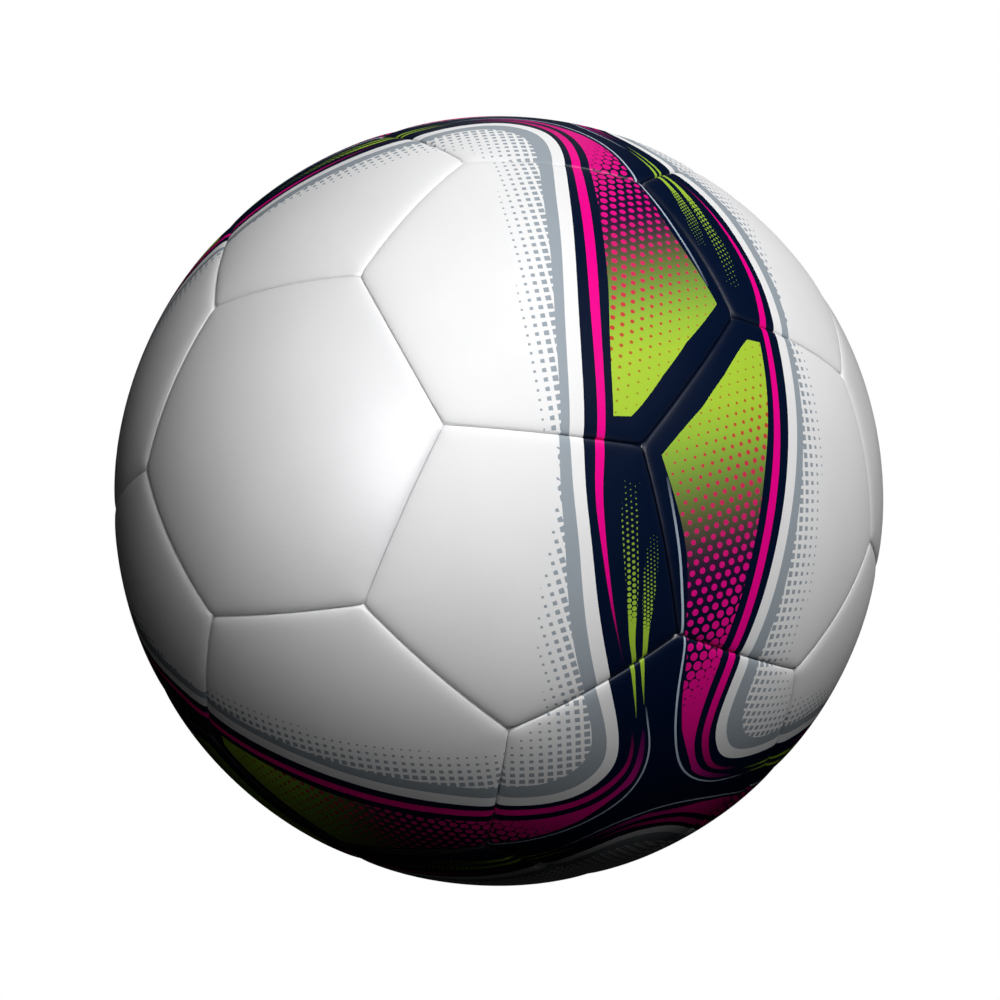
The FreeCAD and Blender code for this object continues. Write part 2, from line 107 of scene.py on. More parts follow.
class Panel:
    """Where one panel lies: local Z points out and local X leans towards a corner."""

    def __init__(self, name, out, sides, slot):
        self.name = name
        self.sides = sides
        self.slot = slot
        self.has_hole = name == "white_hexagon_valve"
        corner = max(PANEL_CORNERS, key=out.dot)
        x_axis = across(corner, out)
        y_axis = out.cross(x_axis)
        self.out = out
        self.axes = np.array([x_axis, y_axis, out])


def all_panels():
    """The 32 panels, each by the name of the CAD node that it replaces."""
    panels = []
    for i, out in enumerate(WHITE_HEXAGONS, start=1):
        name = "white_hexagon_valve" if out.dot(VALVE_AXIS) > 0.99 else f"white_hexagon_{i}"
        panels.append(Panel(name, out, 6, "cover_white"))
    for i, out in enumerate(CORNER_HEXAGONS, start=1):
        panels.append(Panel(f"corner_hexagon_{i}", out, 6, "cover_corner_hexagon"))
    for i, out in enumerate(BAND_HEXAGONS, start=1):
        panels.append(Panel(f"band_hexagon_{i:02d}", out, 6, "cover_band_hexagon"))
    for i, out in enumerate(PENTAGONS, start=1):
        panels.append(Panel(f"pentagon_{i:02d}", out, 5, "cover_pentagon"))
    return panels


# ---------------------------------------------------------------- shape of a panel

HEM_GAP = 0.05 * MM        # from a hem to the seam's plane
HEM_THICKNESS = 1.0 * MM
HEM_DEPTH = 5.0 * MM
SKIN_THICKNESS = 1.2 * MM
EDGE_RADIUS = 0.45 * MM    # how the skin rolls over into the seam
EDGE_DROP = 0.58 * MM      # how far the stitches pull down the skin beside the seam
EDGE_REACH = 1.1 * MM
CROWN = 0.32 * MM          # how far the panel's whole border is pulled in
CROWN_REACH = 18 * MM
PUCKER = 0.04 * MM         # small hollows beside each stitch
PUCKER_REACH = 2.2 * MM
STITCH_PITCH = math.radians(3)
CORNER_SOFTNESS = 0.5 * MM
PRESSED_REACH = 0.35 * MM  # how far from a seam the skin is pressed smooth
VALVE_HOLE_RADIUS = 4.7 * MM
VALVE_LIP = 0.35 * MM      # rounding of the hole's edge
LIP_TURNS = np.radians((0, 30, 60, 90))
WALL_CLEARANCE = 0.1 * MM  # from the lowest point of the outside to the top of the hem's wall
SHARP_ANGLE = math.radians(50)

INNER_ROWS = 14            # rings of points from a panel's middle to its border
ALONG_SIDE = 48            # points along one side of the border
BORDER_RINGS = 21          # rings in the border, ever closer to each other
BORDER_REACH = 16 * MM
BORDER_NARROWING = 0.78
BORDER_GAP = 2 * MM        # between the border's first ring and the rings of the middle
# Distances of the border's rings from the seam's plane.
BORDER_INSETS = [
    HEM_GAP + BORDER_REACH * BORDER_NARROWING ** ring for ring in range(BORDER_RINGS)] + [HEM_GAP]


def outline(sides, inset, radius, count):
    """Points round a panel at a distance from its seam planes, where Z is 1 in local axes."""
    side = SIDE_ANGLE[sides]
    scale = 1 - inset / (radius * math.sin(side) * math.cos(side))
    corner_radius = math.tan(CORNER_ANGLE[sides]) * scale
    steps = np.arange(sides * count)
    share = (steps % count / count)[:, None]
    turns = [2 * math.pi * (steps // count + extra) / sides for extra in (0, 1)]
    start, end = (np.column_stack([np.cos(turn), np.sin(turn)]) for turn in turns)
    return corner_radius * (start * (1 - share) + end * share)


def directions(points):
    """Unit directions of points that lie where local Z is 1."""
    tall = np.column_stack([points, np.ones(len(points))])
    return tall / np.linalg.norm(tall, axis=1)[:, None]


def seam_distances(local, sides):
    """How far each direction is from each seam's plane on the ball's surface."""
    side = SIDE_ANGLE[sides]
    turns = 2 * math.pi * (np.arange(sides) + 0.5) / sides
    inward = np.column_stack([
        -math.cos(side) * np.cos(turns), -math.cos(side) * np.sin(turns),
        np.full(sides, math.sin(side))])
    return BALL_RADIUS * local @ inward.T


def seam_steps(local, sides):
    """For each direction, the angle along its nearest seam from that seam's middle."""
    turns = 2 * math.pi * (np.arange(sides) + 0.5) / sides
    nearest = np.argmin(seam_distances(local, sides), axis=1)
    turn = turns[nearest]
    along = -local[:, 0] * np.sin(turn) + local[:, 1] * np.cos(turn)
    return np.arcsin(np.clip(along, -1, 1))


def border_distance(local, sides):
    """How far each direction is from the panel's border, with softened corners."""
    distances = seam_distances(local, sides)
    distance = -CORNER_SOFTNESS * np.log(np.exp(-distances / CORNER_SOFTNESS).sum(axis=1))
    return np.clip(distance - HEM_GAP, 0, None)


def sink(local, sides, crown):
    """How far below the ball's sphere the outside of a panel lies."""
    distance = border_distance(local, sides)
    pulled = crown * np.clip(1 - distance / CROWN_REACH, 0, 1) ** 2
    turn_in = np.clip(EDGE_RADIUS - distance, 0, None)
    rolled = EDGE_RADIUS - np.sqrt(EDGE_RADIUS ** 2 - turn_in ** 2)
    wave = 0.5 + 0.5 * np.cos(2 * math.pi * seam_steps(local, sides) / STITCH_PITCH)
    puckered = PUCKER * wave * np.exp(-distance / PUCKER_REACH)
    dropped = EDGE_DROP * np.exp(-distance / EDGE_REACH)
    return pulled + dropped + rolled + puckered


def on_outside(points, sides, crown, below=0.0):
    """Where points that lie where local Z is 1 come on the panel's outside, or below it."""
    local = directions(points)
    return local * (BALL_RADIUS - sink(local, sides, crown) - below)[:, None]


def middle_rows(panel, inset, hole):
    """Rings inwards from an inset of the border to the middle, or to the valve's hole."""
    rows = []
    for row in range(INNER_ROWS, 0, -1):
        share = row / INNER_ROWS
        if panel.has_hole:
            whole = outline(panel.sides, inset, BALL_RADIUS, INNER_ROWS)
            circle = whole / np.linalg.norm(whole, axis=1)[:, None] * hole
            rows.append(circle * (1 - share) + whole * share)
        else:
            rows.append(outline(panel.sides, inset, BALL_RADIUS, row) * share)
    return rows


def outside_rings(panel, crown):
    """Rings of the outside, from its middle or the valve's hole to the seam."""
    hole = VALVE_HOLE_RADIUS / BALL_RADIUS
    lip = VALVE_LIP / BALL_RADIUS
    rows = middle_rows(panel, BORDER_INSETS[0] + BORDER_GAP, hole + lip)[::-1]
    if panel.has_hole:
        circle = rows[0] / np.linalg.norm(rows[0], axis=1)[:, None]
        rings = [
            on_outside(
                circle * (hole + lip * (1 - math.cos(turn))), panel.sides, crown,
                below=VALVE_LIP * (1 - math.sin(turn)))
            for turn in LIP_TURNS]
    else:
        rings = [on_outside(np.zeros((1, 2)), panel.sides, crown)]
    rows += [outline(panel.sides, inset, BALL_RADIUS, ALONG_SIDE) for inset in BORDER_INSETS]
    return rings + [on_outside(points, panel.sides, crown) for points in rows]


def hem_rings(sides, crown):
    """Rings of the hem, from the seam down its outer wall and up its inner one."""
    bottom = BALL_RADIUS - HEM_DEPTH
    top = BALL_RADIUS - EDGE_RADIUS - EDGE_DROP - crown - PUCKER - WALL_CLEARANCE
    inner_top = BALL_RADIUS - SKIN_THICKNESS - crown - EDGE_RADIUS
    inner_inset = HEM_GAP + HEM_THICKNESS
    places = [(HEM_GAP, top * (1 - share) + bottom * share) for share in (1 / 3, 2 / 3, 1)]
    places += [(inner_inset, bottom), (inner_inset, inner_top)]
    return [
        directions(outline(sides, inset, radius, ALONG_SIDE)) * radius
        for inset, radius in places]


def inside_rings(panel, crown):
    """Rings of the inside, from the hem to the middle or the valve's hole."""
    inset = HEM_GAP + HEM_THICKNESS + EDGE_RADIUS
    rows = middle_rows(panel, inset, VALVE_HOLE_RADIUS / BALL_RADIUS)
    if not panel.has_hole:
        rows.append(np.zeros((1, 2)))
    return [directions(points) * (BALL_RADIUS - SKIN_THICKNESS - crown) for points in rows]


def strip(first, first_count, second, second_count):
    """Faces between two closed rings, each given by its first point and its count."""
    if first_count == second_count:
        return [
            (first + i, first + (i + 1) % first_count, second + (i + 1) % second_count, second + i)
            for i in range(first_count)]
    # Triangles that step along the ring that lags behind. A single point has no steps.
    first_steps = first_count if first_count > 1 else 0
    second_steps = second_count if second_count > 1 else 0
    faces = []
    i = j = 0
    while i < first_steps or j < second_steps:
        first_point, second_point = first + i % first_count, second + j % second_count
        if j < second_steps and (j + 1) * first_steps <= (i + 1) * second_steps:
            j += 1
            faces.append((first_point, second + j % second_count, second_point))
        else:
            i += 1
            faces.append((first_point, first + i % first_count, second_point))
    return faces


def panel_mesh(panel, crown):
    """The closed mesh of one panel, with how hard each point is pressed by the seam."""
    rings = outside_rings(panel, crown) + hem_rings(panel.sides, crown) + inside_rings(panel, crown)
    starts = np.cumsum([0] + [len(ring) for ring in rings])
    faces = []
    for i in range(len(rings) - 1):
        faces += strip(int(starts[i]), len(rings[i]), int(starts[i + 1]), len(rings[i + 1]))
    if len(rings[0]) > 1:
        faces += strip(int(starts[len(rings) - 1]), len(rings[-1]), 0, len(rings[0]))
    faces = [face[::-1] for face in faces]
    mesh = bpy.data.meshes.new(panel.name)
    points = np.vstack(rings)
    mesh.from_pydata((points @ panel.axes).tolist(), [], faces)
    local = points / np.linalg.norm(points, axis=1)[:, None]
    pressed = np.exp(-border_distance(local, panel.sides) / PRESSED_REACH)
    mesh.attributes.new("pressed", "FLOAT", "POINT").data.foreach_set("value", pressed)
    mesh.validate()
    mesh.shade_smooth()
    mesh.set_sharp_from_angle(angle=SHARP_ANGLE)
    return mesh


# ---------------------------------------------------------------- layout of the print

# The print repeats round each white hexagon, three times about its middle. A place on it is an
# azimuth, measured about the white hexagon from a corner hexagon, and an angle from its middle.
AZIMUTHS = (-72, 54)
POLAR_ANGLES = (20, 75)
REGION_REACH = 50   # band hexagons and pentagons of a region lie closer than this to its middle

# Thin line round each region of the print, as (azimuth, angle from the white hexagon's middle).
THIN_LINE = (
    (-72, 60.5), (-42, 60.9), (-36, 61.1), (-30, 61.8), (-24, 62.9), (-18, 64.9), (-12, 66.5),
    (-6, 67.3), (-2, 67.1), (2, 65.8), (6, 63.3), (9, 60.6), (11, 58.9), (20, 55), (54, 47))
# How the halftone's rows lie in each kind of panel, from the direction of the white hexagon.
ROWS_TURN = {"cover_band_hexagon": 164.4, "cover_pentagon": -138.3, "cover_corner_hexagon": -45}
HALFTONE_PITCH = 1.13
# The round dots of the coloured field stand further apart, and their rows are turned.
FIELD_PITCH = 1.39
FIELD_TURN = 15


def region_axes(white, corner):
    """Axes of one third of a region: Z to the white hexagon, X towards the corner hexagon."""
    z_axis = WHITE_HEXAGONS[white]
    x_axis = across(CORNER_HEXAGONS[corner], z_axis)
    return np.array([x_axis, z_axis.cross(x_axis), z_axis])


def neighbours(white):
    """The three corner hexagons nearest to a white one."""
    return [i for i, out in enumerate(CORNER_HEXAGONS) if out.dot(WHITE_HEXAGONS[white]) > 0]


REGIONS = [(white, corner) for white in range(4) for corner in neighbours(white)]


def on_region(points, axes):
    """Azimuth and polar angle, in degrees, of unit directions."""
    x, y, z = axes @ points.T
    return np.degrees(np.arctan2(y, x)), np.degrees(np.arccos(np.clip(z, -1, 1)))


def beyond_thin_line(points, axes):
    """How far outside a region's thin line each direction lies, in degrees."""
    azimuth, polar = on_region(points, axes)
    line_azimuths, line_angles = zip(*THIN_LINE)
    missed = np.abs(azimuth - np.clip(azimuth, *AZIMUTHS))
    return polar - np.interp(azimuth, line_azimuths, line_angles) + missed


def regions_of(panel, face_middles):
    """For each face of a panel, the number of the region whose print covers it."""
    if panel.slot == "cover_corner_hexagon":
        scores = [beyond_thin_line(face_middles, region_axes(*region)) for region in REGIONS]
        return np.argmin(scores, axis=0)
    out = np.array([panel.out])
    for number, (white, corner) in enumerate(REGIONS):
        azimuth, polar = on_region(out, region_axes(white, corner))
        if polar[0] < REGION_REACH and -60 < azimuth[0] <= 60:
            return np.full(len(face_middles), number)
    raise ValueError(f"no region covers {panel.name}")


def share_of(values, limits):
    """How far values lie between two limits, from 0 to 1."""
    return (values - limits[0]) / (limits[1] - limits[0])


def on_rows(points, panel, white):
    """Places of unit directions on the rows of a panel's halftone."""
    x_axis = np.array(across(WHITE_HEXAGONS[white], panel.out))
    y_axis = np.cross(panel.out, x_axis)
    flat_x = np.degrees(np.arcsin(points @ x_axis))
    flat_y = np.degrees(np.arcsin(points @ y_axis))
    turn = math.radians(ROWS_TURN[panel.slot])
    along = flat_x * math.cos(turn) + flat_y * math.sin(turn)
    beside = flat_y * math.cos(turn) - flat_x * math.sin(turn)
    return np.column_stack([along, beside]) / HALFTONE_PITCH


def whole_numbers(items, key):
    """A whole number of each item of a mesh."""
    numbers = np.empty(len(items), int)
    items.foreach_get(key, numbers)
    return numbers


def unit_vectors(items, key):
    """A vector of each item of a mesh, at length 1."""
    vectors = np.empty(len(items) * 3)
    items.foreach_get(key, vectors)
    vectors = vectors.reshape(-1, 3)
    return vectors / np.linalg.norm(vectors, axis=1)[:, None]


def add_print_maps(mesh, panel, shift):
    """Two UV maps: the place in the region, and the place on the halftone's rows."""
    loops = whole_numbers(mesh.loops, "vertex_index")
    points = unit_vectors(mesh.vertices, "co")
    regions = regions_of(panel, unit_vectors(mesh.polygons, "center"))
    loop_regions = np.repeat(regions, whole_numbers(mesh.polygons, "loop_total"))
    place = np.empty((len(loops), 2))
    rows = np.empty((len(loops), 2))
    for number in np.unique(regions):
        white, corner = REGIONS[number]
        mine = loop_regions == number
        corner_points = points[loops[mine]]
        azimuth, polar = on_region(corner_points, region_axes(white, corner))
        place[mine, 0] = share_of(azimuth + shift[0], AZIMUTHS)
        place[mine, 1] = share_of(polar + shift[1], POLAR_ANGLES)
        rows[mine] = on_rows(corner_points, panel, white)
    mesh.uv_layers.new(name="region").data.foreach_set("uv", place.ravel())
    mesh.uv_layers.new(name="rows").data.foreach_set("uv", rows.ravel())


# ---------------------------------------------------------------- numbers in node trees

CURVE_STEPS = 96   # straight pieces that stand for one smooth curve


def smoothed(points, places):
    """Values at places along the natural cubic spline through (place, value) points."""
    x, y = np.array(points, float).T
    gaps = np.diff(x)
    slopes = np.diff(y) / gaps
    matrix = np.eye(len(x))
    bends = np.zeros(len(x))
    for i in range(1, len(x) - 1):
        matrix[i, i - 1:i + 2] = gaps[i - 1], 2 * (gaps[i - 1] + gaps[i]), gaps[i]
        bends[i] = 6 * (slopes[i] - slopes[i - 1])
    bends = np.linalg.solve(matrix, bends)
    i = np.clip(np.searchsorted(x, places) - 1, 0, len(gaps) - 1)
    before, after = places - x[i], x[i + 1] - places
    cubic = (bends[i] * after ** 3 + bends[i + 1] * before ** 3) / (6 * gaps[i])
    start = y[i] / gaps[i] - bends[i] * gaps[i] / 6
    end = y[i + 1] / gaps[i] - bends[i + 1] * gaps[i] / 6
    return cubic + start * after + end * before


class Term:
    """A number or colour that a material's nodes work out at each point of a surface."""

    def __init__(self, tree, socket):
        self.tree = tree
        self.socket = socket

    def into(self, socket):
        self.tree.links.new(self.socket, socket)

    def math(self, operation, *others):
        node = self.tree.nodes.new("ShaderNodeMath")
        node.operation = operation
        for value, socket in zip((self, *others), node.inputs):
            if isinstance(value, Term):
                value.into(socket)
            else:
                socket.default_value = value
        return Term(self.tree, node.outputs[0])

    def __add__(self, other):
        return self.math("ADD", other)

    def __sub__(self, other):
        return self.math("SUBTRACT", other)

    def __mul__(self, other):
        return self.math("MULTIPLY", other)

    def __truediv__(self, other):
        return self.math("DIVIDE", other)

    def above(self, other):
        return self.math("GREATER_THAN", other)

    def below(self, other):
        return self.math("LESS_THAN", other)

    def between(self, low, high):
        return self.above(low) * self.below(high)

    def rescaled(self, low, high, to_low=0.0, to_high=1.0):
        node = self.tree.nodes.new("ShaderNodeMapRange")
        self.into(node.inputs["Value"])
        node.inputs["From Min"].default_value = low
        node.inputs["From Max"].default_value = high
        node.inputs["To Min"].default_value = to_low
        node.inputs["To Max"].default_value = to_high
        return Term(self.tree, node.outputs["Result"])

    def line(self, places, values):
        """A line of straight pieces through values at places, where self is the place."""
        low, high = min(values), max(values)
        span = places[-1] - places[0]
        node = self.tree.nodes.new("ShaderNodeFloatCurve")
        self.rescaled(places[0], places[-1]).into(node.inputs["Value"])
        points = node.mapping.curves[0].points
        while len(points) < len(places):
            points.new(0.5, 0.5)
        for point, place, value in zip(points, places, values):
            point.location = ((place - places[0]) / span, (value - low) / (high - low))
            point.handle_type = "VECTOR"
        node.mapping.update()
        return Term(self.tree, node.outputs[0]) * (high - low) + low

    def steps(self, *points):
        """A line of straight pieces through (place, value) points."""
        return self.line(*zip(*points))

    def curve(self, *points):
        """A smooth line through (place, value) points."""
        places = np.linspace(points[0][0], points[-1][0], CURVE_STEPS)
        return self.line(places.tolist(), smoothed(points, places).tolist())

    def ramp(self, *stops):
        """A colour that changes evenly from stop to stop, each a (place, colour)."""
        low, high = stops[0][0], stops[-1][0]
        node = self.tree.nodes.new("ShaderNodeValToRGB")
        self.rescaled(low, high).into(node.inputs["Fac"])
        elements = node.color_ramp.elements
        while len(elements) < len(stops):
            elements.new(0.5)
        for element, (place, colour) in zip(elements, stops):
            element.position = (place - low) / (high - low)
            element.color = (*colour, 1)
        return Term(self.tree, node.outputs["Color"])


def mixed(amount, base, top):
    """The base colour, with the top colour over it by an amount."""
    node = amount.tree.nodes.new("ShaderNodeMix")
    node.data_type = "RGBA"
    amount.into(node.inputs["Factor"])
    sockets = [socket for socket in node.inputs if socket.type == "RGBA"]
    for value, socket in zip((base, top), sockets):
        if isinstance(value, Term):
            value.into(socket)
        else:
            socket.default_value = (*value, 1)
    colour = next(socket for socket in node.outputs if socket.type == "RGBA")
    return Term(amount.tree, colour)


def srgb(red, green, blue):
    """A colour given by screen values from 0 to 255."""
    return tuple(
        value / 255 / 12.92 if value <= 10 else ((value / 255 + 0.055) / 1.055) ** 2.4
        for value in (red, green, blue))


# ---------------------------------------------------------------- the print

WHITE = srgb(240, 240, 241)
NAVY = srgb(2, 16, 42)
GREY = srgb(156, 165, 173)
MAGENTA = srgb(238, 0, 140)
DOT_MAGENTA = srgb(222, 10, 132)
LIME = srgb(170, 204, 58)
FLAME_LIME = srgb(160, 196, 60)
THIN_LINE_COLOUR = srgb(176, 190, 206)
THIN_LINE_WIDTH = 0.3
THIN_LINE_AZIMUTHS = (-46, 11)
FIELD_AZIMUTHS = (-66.8, 7.5)
GREY_DOT_SIZES = (0.1, 0.34)   # half a side of the smallest and largest squares, in rows


def off_grid(number, pitch, extra=0.0):
    """Distance to the nearest of the places that stand a pitch apart."""
    return ((number * (1 / pitch) + extra).math("FRACT") - 0.5).math("ABSOLUTE") * pitch


def squares(rows):
    """How far from the middle of its square each place lies, in rows."""
    return off_grid(rows[0], 1).math("MAXIMUM", off_grid(rows[1], 1))


def round_dots(rows, pitch, turn):
    """Distance to the nearest dot of a grid with six neighbours round each, in pitches."""
    cosine, sine = math.cos(math.radians(turn)), math.sin(math.radians(turn))
    x = (rows[0] * cosine + rows[1] * sine) * (1 / pitch)
    y = (rows[1] * cosine - rows[0] * sine) * (1 / pitch)
    lengths = []
    for extra in (0, 0.5):
        a, b = off_grid(x, 1, extra), off_grid(y, math.sqrt(3), extra)
        lengths.append((a * a + b * b).math("SQRT"))
    return lengths[0].math("MINIMUM", lengths[1])


def separate(tree, name):
    """The two numbers of a UV map."""
    map_node = tree.nodes.new("ShaderNodeUVMap")
    map_node.uv_map = name
    split = tree.nodes.new("ShaderNodeSeparateXYZ")
    tree.links.new(map_node.outputs[0], split.inputs[0])
    return Term(tree, split.outputs[0]), Term(tree, split.outputs[1])


def stripes(azimuth, past_wave, rows):
    """White, grey dots, a grey stripe and a white stripe up to the wave, and navy beyond it."""
    white_width = azimuth.curve(
        (-72, 1.65), (-50, 1.75), (-30, 1.95), (-15, 2.15), (-5, 1.7), (0, 1.75), (8, 2.45),
        (20, 2.05), (54, 1.65))
    grey_width = azimuth.curve(
        (-72, 1), (-50, 1.2), (-40, 1.4), (-30, 1.75), (-20, 2.2), (-12, 2.6), (0, 2.5), (10, 2.5),
        (20, 2.1), (35, 1.6), (54, 1.1))
    dots_width = azimuth.curve(
        (-72, 1.7), (-50, 4), (-30, 5.5), (-8, 8.4), (2, 8.4), (10, 6.3), (20, 3.8), (30, 1.8),
        (40, 0.5), (54, 0.5))
    past_white = past_wave + white_width
    past_grey = past_white + grey_width
    growth = (past_grey + dots_width) / dots_width
    dot_size = growth.rescaled(0, 1, *GREY_DOT_SIZES)
    grey_dots = squares(rows).below(dot_size) * growth.above(0) * past_grey.below(0.05)
    colour = mixed(grey_dots, WHITE, GREY)
    colour = mixed(past_grey.above(0) * past_white.below(0), colour, GREY)
    return mixed(past_wave.above(0), colour, NAVY)


def with_magenta_line(colour, azimuth, past_wave):
    """A magenta line just past the wave."""
    middle = azimuth.curve(
        (-72, 2.05), (-50, 2.1), (-30, 2.2), (-20, 2.05), (-11, 1.7), (-1, 1.75), (4, 2.3),
        (12, 2.6), (18, 2.3), (21, 2.05), (26, 1.75), (31, 1.55), (36, 1.5), (41, 1.6), (45, 1.8),
        (54, 2.05))
    width = azimuth.curve(
        (-72, 0.95), (-60, 1), (-50, 1.15), (-40, 1.35), (-30, 1.45), (-20, 1.5), (-11, 1.35),
        (-6, 1.1), (-1, 0.85), (4, 0.55), (10, 0.15), (16, 0.1), (21, 0.3), (26, 0.5), (31, 0.65),
        (36, 0.85), (41, 0.95), (45, 1.05), (54, 1.05))
    strength = azimuth.steps(
        (-72, 1), (-14, 1), (-8, 0.8), (-3, 0.6), (1, 0.45), (4, 0.25), (6.5, 0), (15, 0),
        (18, 0.15), (21, 0.55), (26, 0.9), (31, 1), (54, 1))
    on_line = ((past_wave - middle).math("ABSOLUTE") * 2).below(width)
    return mixed(on_line * strength, colour, MAGENTA)


def with_field(colour, azimuth, polar, past_wave, rows):
    """A field that runs from lime to magenta, with dots that grow and change colour with it."""
    inner = azimuth.curve(
        (-72, 3.55), (-60, 3.5), (-55, 3.6), (-50, 3.8), (-45, 4.05), (-35, 4.2), (-20, 4.25),
        (-16, 4.1), (-11, 3.6), (-6, 3.2), (-1, 3.15), (4, 3.45), (8, 4.5))
    end = azimuth.steps(
        (-72, 41), (-66.5, 45.9), (-65, 47), (-60, 50.4), (-55, 54.5), (-49, 61.1), (-45, 66))
    outer = azimuth.curve(
        (-72, 61.3), (-49, 61.1), (-45, 60.6), (-40, 60.2), (-35, 60.3), (-30, 61.1), (-20, 63.6),
        (-16, 64.8), (-11, 65.8), (-6, 66.4), (-1, 66.1), (4, 63.9), (8, 60.8))
    in_field = (past_wave - inner).above(0) * (polar - outer).below(0)
    in_field = in_field * (polar - end).below(0) * azimuth.between(*FIELD_AZIMUTHS)
    ground = azimuth.ramp(
        (-66, LIME), (-56, LIME), (-51, srgb(154, 192, 60)), (-48, srgb(138, 174, 62)),
        (-45, srgb(120, 150, 62)), (-42, srgb(106, 122, 60)), (-39, srgb(90, 90, 60)),
        (-36, srgb(72, 58, 60)), (-33, srgb(52, 30, 56)), (-30, srgb(34, 16, 50)), (-25, NAVY),
        (8, NAVY))
    dot_colour = azimuth.ramp(
        (-66, srgb(150, 140, 40)), (-58, srgb(172, 115, 42)), (-53, srgb(188, 80, 48)),
        (-48, srgb(198, 60, 64)), (-42, srgb(204, 46, 90)), (-36, srgb(212, 26, 114)),
        (-30, DOT_MAGENTA), (-8, DOT_MAGENTA), (0, srgb(180, 20, 125)), (4, srgb(120, 14, 95)),
        (8, srgb(40, 14, 60)))
    # Dots of one size lie along lines that lean away from the wave.
    leaning = azimuth - (past_wave - 10) * 1.2
    dot_size = leaning.steps(
        (-84, 0.02), (-72, 0.02), (-62, 0.06), (-52, 0.15), (-44, 0.22), (-36, 0.27), (-26, 0.31),
        (-18, 0.4), (-13, 0.49), (-8, 0.54), (-3, 0.6), (20, 0.6))
    dots = round_dots(rows, FIELD_PITCH / HALFTONE_PITCH, FIELD_TURN)
    field = mixed(dots.below(dot_size), ground, dot_colour)
    return mixed(in_field, colour, field)


def with_thin_line(colour, azimuth, polar):
    """A thin light line round the region, which fades out at its ends."""
    middle = azimuth.curve(*THIN_LINE[1:13])
    strength = azimuth.steps(
        (-50, 0), (-46, 0.1), (-39, 0.75), (-30, 1), (6, 1), (9, 0.6), (11, 0), (14, 0))
    on_line = (polar - middle).math("ABSOLUTE").below(THIN_LINE_WIDTH / 2)
    on_line = on_line * azimuth.between(*THIN_LINE_AZIMUTHS)
    return mixed(on_line * strength, colour, THIN_LINE_COLOUR)


def with_flame(colour, azimuth, polar, rows, middle_points, width_points, dot_points, pitch):
    """A lime flame that breaks up into dots, along a curve of (azimuth, polar) points."""
    start, end = middle_points[0][0], middle_points[-1][0]
    off_middle = (polar - azimuth.curve(*middle_points)).math("ABSOLUTE") * 2
    in_flame = off_middle.below(azimuth.curve(*width_points)) * azimuth.between(start, end)
    dots = round_dots(rows, pitch / HALFTONE_PITCH, FIELD_TURN)
    shown = in_flame * dots.below(azimuth.steps(*dot_points))
    strength = azimuth.steps((start, 0.6), (start + 4, 1), (21, 1), (end, 0.4))
    return mixed(shown * strength, colour, FLAME_LIME)


def print_colour(tree):
    """The print of one region, from its UV maps."""
    place = separate(tree, "region")
    azimuth = place[0] * (AZIMUTHS[1] - AZIMUTHS[0]) + AZIMUTHS[0]
    polar = place[1] * (POLAR_ANGLES[1] - POLAR_ANGLES[0]) + POLAR_ANGLES[0]
    rows = separate(tree, "rows")
    # The wave parts the white region from the navy bands.
    wave = azimuth.curve(
        (-72, 39.9), (-60, 40.3), (-50, 41.5), (-40, 43.95), (-30, 47.8), (-20, 53.3), (-11, 59.4),
        (-6, 61.6), (-2.5, 61.95), (1, 61.3), (4.5, 59.1), (9, 55.1), (14, 51), (20, 47.2),
        (30, 43.2), (40, 40.8), (54, 39.9))
    past_wave = polar - wave
    colour = stripes(azimuth, past_wave, rows)
    colour = with_magenta_line(colour, azimuth, past_wave)
    colour = with_field(colour, azimuth, polar, past_wave, rows)
    colour = with_thin_line(colour, azimuth, polar)
    colour = with_flame(
        colour, azimuth, polar, rows,
        middle_points=(
            (8.7, 58.9), (11, 57.2), (13, 55.8), (16, 53.9), (18.5, 52.35), (21, 51.2), (26, 49.4),
            (31.5, 47.7), (37, 46.5), (42.5, 46.1)),
        width_points=(
            (8.7, 0.05), (11, 0.3), (16, 0.7), (21, 1.05), (26, 1.6), (34, 2), (42.5, 2.1)),
        dot_points=(
            (8.7, 0.6), (20, 0.6), (23, 0.44), (26, 0.34), (32, 0.26), (38, 0.18), (42.5, 0.09)),
        pitch=0.7)
    return with_flame(
        colour, azimuth, polar, rows,
        middle_points=(
            (11, 58.6), (12.3, 57.7), (14.5, 56.3), (17.5, 54.7), (21, 53.2), (26, 51.6),
            (31.5, 50.5), (35, 50)),
        width_points=(
            (11, 0.05), (14.5, 0.45), (18, 0.7), (21, 0.85), (24, 1.4), (29, 1.8), (35, 1.2)),
        dot_points=((11, 0.6), (20, 0.6), (23, 0.36), (28, 0.26), (35, 0.1)),
        pitch=0.5)


# ---------------------------------------------------------------- materials


def new_material(name, **sockets):
    """A material with one Principled shader, whose sockets are set by name."""
    material = bpy.data.materials.new(name)
    material.use_nodes = True
    shader = material.node_tree.nodes["Principled BSDF"]
    for socket, value in sockets.items():
        shader.inputs[socket.replace("_", " ")].default_value = value
    return material, material.node_tree, shader


def object_place(tree):
    """The place on the object, in metres."""
    return tree.nodes.new("ShaderNodeTexCoord").outputs["Object"]


def noise(tree, scale, detail=2.0, roughness=0.5):
    """Cloudy values from 0 to 1, at a scale in clouds for each metre."""
    node = tree.nodes.new("ShaderNodeTexNoise")
    node.inputs["Scale"].default_value = scale
    node.inputs["Detail"].default_value = detail
    node.inputs["Roughness"].default_value = roughness
    tree.links.new(object_place(tree), node.inputs["Vector"])
    return Term(tree, node.outputs["Fac"])


def cells(tree, scale, feature="DISTANCE_TO_EDGE"):
    """Distances in small cells, at a scale in cells for each metre."""
    node = tree.nodes.new("ShaderNodeTexVoronoi")
    node.feature = feature
    node.inputs["Scale"].default_value = scale
    tree.links.new(object_place(tree), node.inputs["Vector"])
    return Term(tree, node.outputs["Distance"])


